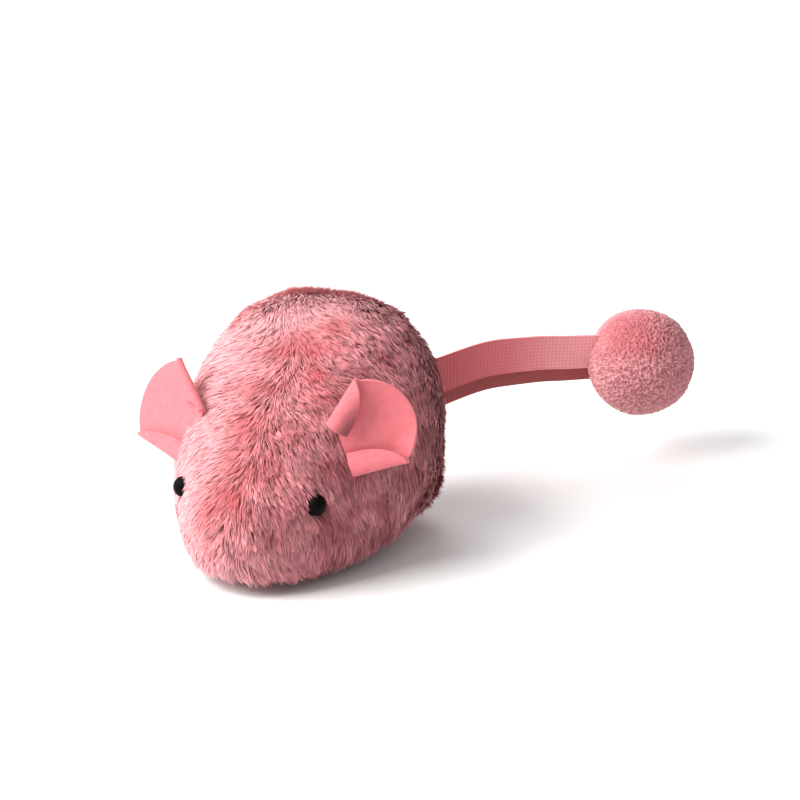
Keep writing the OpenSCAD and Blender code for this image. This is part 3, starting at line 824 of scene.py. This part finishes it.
def ear_sheet(side):
    """Folded and unfolded places over an ear, in rows from root to rim, and the factor of painted shade on
    each.
    """
    flaps = np.linspace(-1, 0, FLAP_STEPS)[:-1]
    ws = np.concatenate([flaps, np.linspace(0, 1, FACE_STEPS), np.linspace(1, 2, FLAP_STEPS)[1:]])
    rs = np.linspace(0, 1, RISE_STEPS)
    folded, flat, shade_factors = [], [], []
    for r in rs:
        for w in ws:
            sunk = SUNK[side][0] + (SUNK[side][1] - SUNK[side][0]) * smooth_step(0.0, 0.6, w)
            place, unfolded = ear_point(float(w), float(r - sunk * (1 - r)), side)
            folded.append(place)
            flat.append(unfolded)
            # Painted shade on the rear flap, deepest toward its root and its outer part.
            shade_factors.append(1 - FLAP_SHADE[side] * smooth_step(0.85, 0.15, r) * smooth_step(-0.3, -1.0, w))
    return np.array(folded), np.array(flat), np.array(shade_factors), grid_faces(len(rs), len(ws))


def with_third(places, value):
    """Places in a plane with the same third coordinate added to each."""
    return np.concatenate([places, np.full((len(places), 1), value)], 1)


def make_ear(name, side, node, material):
    """A felt ear: one sheet whose rear and front edges are turned over into flaps."""
    base, out, up, forward = ear_pose(side)
    folded, flat, shade_factors, faces = ear_sheet(side)
    wobble = noise_at(with_third(flat, side * 3.0), 7, 1.3)
    folded[:, 2] += 0.3 * wobble * np.clip(np.linalg.norm(flat, axis=1) / 12, 0, 1)
    if side < 0:
        faces = faces[:, ::-1]
    made = mesh_object(name, base + folded @ np.stack([out, up, forward]), [faces])
    fleck = 0.5 + 0.5 * noise_at(with_third(flat, side), 1.1, 5.5)
    # Felt flecks, darkened by the painted shade on the rear flap.
    paint(made, mix(FELT_DEEP, FELT_PALE, fleck) * shade_factors[:, None])
    thicken(made, EAR_THICK)
    edge = made.modifiers.new("edge", "BEVEL")
    edge.width, edge.segments, edge.limit_method = 0.2 * MM, 2, "ANGLE"
    edge.angle_limit = math.radians(60)
    bake_modifiers(made)
    dress(made, material)
    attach(made, "mouse")
    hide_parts(node)


def make_ears():
    """Both ears, of one felt."""
    shader = Shader("ear_felt", srgb(214, 107, 115), 0.8, Sheen_Weight=0.12, Sheen_Roughness=0.5)
    shader.vertex_colour()
    shader.bump(shader.noise(3200, 3), 0.3, 0.1 * MM)
    make_ear("ear_left_cloth", 1, "left_ear", shader.material)
    make_ear("ear_right_cloth", -1, "right_ear", shader.material)


# Ribbon tail -----------------------------------------------------------------

frame_joints = {j["name"]: j for j in frame["joints"]}
pin = np.array(frame_joints["tail_swing"]["pos_m"]) / MM
ribbon_low, ribbon_high = box_mm("tail_ribbon_base")
tail_low, tail_high = ribbon_low[2] - 5, ribbon_high[2]
RIBBON_L, RIBBON_W, RIBBON_T = 70.0, ribbon_high[2] - ribbon_low[2], 0.5
# The tail's line is an arc from the pin to the ball; these are its headings from straight back.
HEAD_FROM, HEAD_TO = math.radians(24), math.radians(60)
SWEEP_R = RIBBON_L / (HEAD_TO - HEAD_FROM)
# Radius of the loop round the pin, half the gap between the layers beyond it, and where that is reached.
LOOP_R, NEAR_GAP, CLOSE_AT = 1.41, 0.6, 12.0
IN_BALL = 3.0
# Stops along the strip, stops round its loop and vertices across it.
STEP, LOOP_STEPS, UP_STEPS = 0.2, 18, 51
# Size, depth and contrast of the weave, and thickness and width of the woven edge.
WEAVE, WEAVE_DEEP, WEAVE_TONE = 1.0, 0.05, 0.16
SELVEDGE, SELVEDGE_WIDE = 0.14, 0.5
# How far the line is drawn aside over its last stretch, to meet the ball.
TUCK, TUCK_LONG = 0.6, 8
# How far the front layer leans out at the ball, in degrees, and how far the back layer hangs under it.
LEAN = 14
SAG_START, SAG_LESS, SAG_FROM = 4.9, 1.8, 16
# The front layer's colour by distance from the pin: painted shade by the body, where the body shades it and
# it turns from the key lamp, and painted light toward the ball.
NEAR_LIGHT_AND_SHADE = ((18, (160, 62, 71)), (36, (196, 88, 96)), (48, (212, 107, 114)), (70, (240, 164, 168)))
# The back layer's colour: painted shade, as cast on it by the front layer.
FAR_PAINTED_SHADE = srgb(150, 58, 60)


def heading(h):
    """Directions along and to the right of a heading from straight back."""
    return np.array([math.sin(h), math.cos(h)]), np.array([math.cos(h), -math.sin(h)])


def tail_line(s, side):
    """A point of the tail's line, side millimetres to its right, and the direction across."""
    h = HEAD_FROM + (HEAD_TO - HEAD_FROM) * s / RIBBON_L
    side = side - TUCK * float(smooth_step(RIBBON_L - TUCK_LONG, RIBBON_L, s))
    x = SWEEP_R * (math.cos(HEAD_FROM) - math.cos(h)) + side * math.cos(h)
    y = pin[1] + SWEEP_R * (math.sin(h) - math.sin(HEAD_FROM)) - side * math.sin(h)
    return np.array([x, y]), heading(h)[1]


def hang(s):
    """How far the ribbon stands above its level at the pin: a dip, a rise and a dip again."""
    return -2.0 * smooth_step(6, 20, s) + 3.2 * smooth_step(22, 46, s) - 0.6 * smooth_step(56, RIBBON_L, s)


def layer_gap(s):
    """Distance of a layer from the tail's line: wide round the pin, close beyond it."""
    return LOOP_R + (NEAR_GAP - LOOP_R) * smooth_step(0, CLOSE_AT, s)


def near_light_and_shade(s):
    """The front layer's colour: painted shade by the body and painted light by the ball."""
    stops = [at for at, _ in NEAR_LIGHT_AND_SHADE]
    colours = np.array([srgb(*tone) for _, tone in NEAR_LIGHT_AND_SHADE])
    return np.array([np.interp(s, stops, colours[:, i]) for i in range(3)])


def ribbon_path():
    """Stops along the looped strip: place, way out, height, lean and colour, with painted shade and light
    in the colour.
    """
    reach = RIBBON_L + IN_BALL
    n = int(reach / STEP)
    forward, right = heading(HEAD_FROM)
    stops = []
    for k in range(n + 1):
        s = reach * (1 - k / n)
        at, across = tail_line(s, -layer_gap(s))
        drop = (SAG_START - SAG_LESS * s / RIBBON_L) * smooth_step(0, SAG_FROM, s)
        # The back layer and the loop carry painted shade.
        stops.append((at, -across, hang(s) - drop, 0.0, FAR_PAINTED_SHADE))
    for k in range(1, LOOP_STEPS):
        turn = math.pi * k / LOOP_STEPS
        out = -right * math.cos(turn) - forward * math.sin(turn)
        stops.append((pin[:2] + out * LOOP_R, out, 0.0, 0.0, FAR_PAINTED_SHADE))
    for k in range(n + 1):
        s = reach * k / n
        at, across = tail_line(s, layer_gap(s))
        # The front layer carries painted shade by the body and painted light toward the ball.
        stops.append((at, across, hang(s), LEAN * smooth_step(20, RIBBON_L, s), near_light_and_shade(s)))
    return stops


def weave_strip(stops):
    """Vertices and colours of the woven strip, a row to each stop, and the strip's length."""
    up = np.linspace(0, RIBBON_W, UP_STEPS)
    edge = np.minimum(up, RIBBON_W - up)
    verts, tints, run, last = [], [], 0.0, stops[0][0]
    for at, out, height, lean, tone in stops:
        run += float(np.linalg.norm(at - last))
        last = at
        tilt = math.radians(lean)
        rib = np.sin(math.pi * (run + up) / WEAVE) * np.sin(math.pi * (run - up) / WEAVE)
        selvedge = SELVEDGE * np.maximum(0, 1 - edge / SELVEDGE_WIDE)
        relief = WEAVE_DEEP * rib * np.minimum(1, edge / 0.6) + selvedge
        shift = (up - RIBBON_W / 2) * math.sin(tilt) + relief
        place = np.zeros((len(up), 3))
        place[:, :2] = at + out * shift[:, None]
        place[:, 2] = ribbon_low[2] + height + up * math.cos(tilt)
        verts.append(place)
        # The weave's colour follows its relief: darker in the hollows and lighter on the ridges.
        tints.append(tone * (1 + WEAVE_TONE * rib)[:, None])
    return np.concatenate(verts), np.clip(np.concatenate(tints), 0.01, 0.95), run


def make_ribbon():
    """The tail: one woven strip, looped round the pin with both its ends in the ball."""
    stops = ribbon_path()
    verts, tints, run = weave_strip(stops)
    made = mesh_object("tail_ribbon", verts, [grid_faces(len(stops), UP_STEPS)[:, ::-1]])
    paint(made, tints)
    thicken(made, RIBBON_T)
    bake_modifiers(made)
    shader = Shader("ribbon_weave", srgb(214, 104, 112), 0.62, Sheen_Weight=0.15)
    shader.vertex_colour()
    shader.bump(shader.noise(5200, 2), 0.3, 0.08 * MM)
    dress(made, shader.material)
    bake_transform(made)
    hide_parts("tail_ribbon_base", "tail_ribbon_end")


# Fleece ball -----------------------------------------------------------------

ball_low, ball_high = box_mm("ball_cover")
ball_mid, BALL_R = (ball_low + ball_high) / 2, (ball_high - ball_low)[0] / 2
FLEECE_PALE, FLEECE_ROSE = srgb(238, 168, 172), srgb(212, 108, 117)
# Painted shade on the fleece: the colour it darkens toward on the side turned from the key lamp and in the
# furrows between curls.
FLEECE_SHADE = srgb(168, 84, 92)
ROSE_SIDE = np.array([0.0, -0.52, 0.85])
# The side turned from the key lamp, which gets painted shade.
SHADED_SIDE = np.array([0.9, 0.2, -0.38])
# Depth of the curls and of the ball's uneven filling, and its mesh from pole to pole and round.
CURL_DEEP, LUMP = 0.75, 0.25
BALL_ROWS, BALL_COLS = 240, 360


def ball_colour(out, tone):
    """The ball's colour in direction out: rose dye at the front and top and paler at the rim, with painted
    shade on the side turned from the key lamp and in the furrows where tone is low.
    """
    patch = smooth_step(0.55, 1.0, out @ ROSE_SIDE + 0.12 * noise_at(out, 0.3, 7.7))
    shade_share = smooth_step(-0.3, 1.0, out @ SHADED_SIDE)
    dye_and_shade = mix(mix(FLEECE_PALE, FLEECE_ROSE, 0.85 * patch), FLEECE_SHADE, 0.35 * shade_share)
    return mix(dye_and_shade, FLEECE_SHADE, 1 - tone)


def round_grid(rows, cols, pole):
    """Directions in rings round a pole, and the faces that join them."""
    turn = Vector((0, 0, 1)).rotation_difference(Vector(pole)).to_matrix()
    tilts, spins = np.pi * np.arange(1, rows) / rows, 2 * np.pi * np.arange(cols) / cols
    tilt, spin = np.meshgrid(tilts, spins, indexing="ij")
    ring = np.stack([np.sin(tilt) * np.cos(spin), np.sin(tilt) * np.sin(spin), np.cos(tilt)], -1)
    out = np.concatenate([ring.reshape(-1, 3), [[0, 0, 1], [0, 0, -1]]]) @ np.array(turn).T
    quads = grid_faces(rows - 1, cols, wrap=True)[:, ::-1]
    return out, [quads, end_caps(rows - 1, cols)]


def make_ball():
    """The ball's curly fleece, with its poles on the tail's line."""
    out, faces = round_grid(BALL_ROWS, BALL_COLS, (math.sin(HEAD_TO), math.cos(HEAD_TO), 0))
    wide_furrow = np.minimum(np.abs(noise_at(out * BALL_R, 0.95, 3.3)) * 3.2, 1)
    fine_furrow = np.minimum(np.abs(noise_at(out * BALL_R, 0.65, 9.9)) * 3.0, 1)
    curl = 1 - wide_furrow * 0.55 - fine_furrow * 0.45
    lump = noise_at(out * BALL_R, 8, 1.0)
    radius = BALL_R - CURL_DEEP + CURL_DEEP * curl + LUMP * lump
    made = mesh_object("ball_fleece", ball_mid + out * radius[:, None], faces)
    # Painted shade in the furrows between curls: the lower the curl, the darker the fleece.
    paint(made, ball_colour(out, np.clip(0.1 + curl, 0, 1)))
    shader = Shader("ball_fleece", srgb(230, 160, 165), 0.85, Sheen_Weight=0.4)
    shader.vertex_colour()
    shader.bump(shader.noise(3000, 3), 0.5, 0.2 * MM)
    dress(made, shader.material)
    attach(made, "tail_end")
    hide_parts("ball_cover")


# CAD parts' finishes ---------------------------------------------------------


BRUSHED = 500


def metal(name, colour, rough):
    """Lightly brushed metal."""
    shader = Shader(name, colour, rough, Metallic=1.0)
    shader.vary_roughness(shader.noise(BRUSHED, 4), rough * 0.8, min(1, rough * 1.5))
    shader.blend_colours(shader.noise(BRUSHED / 3, 3), colour * 0.82, np.minimum(colour * 1.08, 1))
    shader.bump(shader.noise(BRUSHED * 3, 2), 0.12, 0.05 * MM)
    return shader.material


def plastic(name, colour, rough, coat=0.0):
    """Moulded plastic, rubber or fibre with a faint grain."""
    shader = Shader(name, colour, rough, Coat_Weight=coat)
    shader.vary_roughness(shader.noise(260, 4), rough * 0.85, min(1, rough * 1.35))
    shader.blend_colours(shader.noise(120, 4), colour * 0.9, np.minimum(colour * 1.05, 1))
    shader.bump(shader.noise(1800, 2), 0.15, 0.06 * MM)
    return shader.material


def bead_plastic():
    """Black plastic, dulled where the pile has rubbed it."""
    shader = Shader("eye_bead", srgb(6, 4, 4), 0.55, Specular_IOR_Level=0.06)
    shader.vary_roughness(shader.noise(400, 4), 0.4, 0.7)
    shader.bump(shader.noise(1800, 2), 0.1, 0.04 * MM)
    return shader.material


def dress_cad():
    """Gives every CAD part that shows its own finish."""
    steel = metal("steel", srgb(190, 192, 196), 0.3)
    brass = metal("brass", srgb(214, 176, 104), 0.32)
    plate = metal("plate_steel", srgb(176, 172, 162), 0.38)
    shell = plastic("motor_shell", srgb(226, 224, 218), 0.42)
    finishes = (
        (bead_plastic(), ["left_eye", "right_eye"]),
        (plastic("washer", srgb(235, 232, 226), 0.45), ["eye_washers"]),
        (plastic("tray", srgb(58, 60, 66), 0.5), ["chassis_tray", "tail_anchor"]),
        (plastic("hem_braid", srgb(200, 120, 128), 0.85), ["hem_ring"]),
        (plastic("foot_nylon", srgb(238, 236, 230), 0.35), ["glide_foot"]),
        (shell, ["motor_cover", "key_bush"]),
        (plate, ["left_motor_plate", "right_motor_plate"]),
        (steel, ["cover_screws", "plate_pillars", "spring_post", "tail_pin"]),
        (steel, ["spring_arbor", "idler_arbor", "drive_axle"]),
        (brass, ["axle_bushes", "great_wheel", "idler_pinion", "idler_wheel", "axle_pinion"]),
        (metal("spring_steel", srgb(92, 108, 140), 0.28), ["mainspring"]),
        (plastic("key_plastic", srgb(240, 238, 232), 0.3, 0.3), ["winding_key"]),
        (plastic("wheel_plastic", srgb(232, 230, 226), 0.4), ["left_wheel", "right_wheel"]),
        (plastic("tyre_rubber", srgb(30, 30, 32), 0.75), ["left_tyre", "right_tyre"]),
        (plastic("ball_foam", srgb(240, 214, 214), 0.9), ["ball_core"]),
        (plastic("filling", srgb(240, 238, 232), 0.95), ["stuffing"]),
    )
    for material, nodes in finishes:
        for node in nodes:
            dress(frame["nodes"][node], material)


# Stage -----------------------------------------------------------------------

AZIMUTH, ELEVATION = math.radians(21.575), math.radians(18.789)
DISTANCE = 900.0
AIM_ACROSS, AIM_UP = 26.2, 12.0
AIM_FROM = np.array([0, 16.5, 25.0])
LENS, SENSOR = 165.0, 36.0
FLOOR_SIZE = 6
WORLD_LIGHT = 0.5
# Each light: direction as (right, up, toward the camera), distance, size in metres, watts, colour.
LIGHTS = {
    "key": ((-0.80, 0.62, 0.50), 700, 0.55, 8.7, (1.0, 0.985, 0.97)),
    "rim": ((-0.2, 1.0, -0.6), 700, 0.5, 2.5, (1, 1, 1)),
}

across = np.array([math.cos(AZIMUTH), math.sin(AZIMUTH), 0])
toward = np.array(
    [math.sin(AZIMUTH) * math.cos(ELEVATION), -math.cos(AZIMUTH) * math.cos(ELEVATION), math.sin(ELEVATION)]
)
upward = np.cross(toward, across)


def look_from(obj, place_mm, target_mm):
    """Puts a lamp or camera in a place and points it at a target."""
    obj.location = Vector(place_mm) * MM
    direction = Vector(np.array(place_mm) - np.array(target_mm))
    obj.rotation_euler = direction.to_track_quat("Z", "Y").to_euler()


def area_light(name, direction, distance, size, power, colour):
    """A soft light, aimed at the middle of the body."""
    data = bpy.data.lights.new(name, "AREA")
    data.size, data.energy, data.color = size, power, colour
    made = bpy.data.objects.new(name, data)
    bpy.context.scene.collection.objects.link(made)
    way = direction[0] * across + direction[1] * upward + direction[2] * toward
    way = way / np.linalg.norm(way)
    look_from(made, body_mid + way * distance, body_mid)


def make_stage():
    """Floor, world light, lamps and camera."""
    scene = bpy.context.scene
    bpy.ops.mesh.primitive_plane_add(size=FLOOR_SIZE, location=(0, 0, 0))
    floor = bpy.context.object
    floor.name = "floor"
    dress(floor, Shader("floor", srgb(250, 250, 250), 0.9).material)
    world = bpy.data.worlds.new("studio")
    scene.world = world
    world.use_nodes = True
    background = world.node_tree.nodes["Background"]
    background.inputs["Color"].default_value = (1, 1, 1, 1)
    background.inputs["Strength"].default_value = WORLD_LIGHT
    for name, setting in LIGHTS.items():
        area_light(name, *setting)
    camera = bpy.data.objects.new("camera", bpy.data.cameras.new("camera"))
    scene.collection.objects.link(camera)
    camera.data.lens, camera.data.sensor_width = LENS, SENSOR
    camera.data.clip_end = 20
    target = AIM_FROM + across * AIM_ACROSS + upward * AIM_UP
    look_from(camera, target + toward * DISTANCE, target)
    scene.camera = camera
    scene.view_settings.view_transform = "Standard"


# Build -----------------------------------------------------------------------

make_backing()
make_ears()
make_fur()
make_ribbon()
make_ball()
dress_cad()
make_stage()
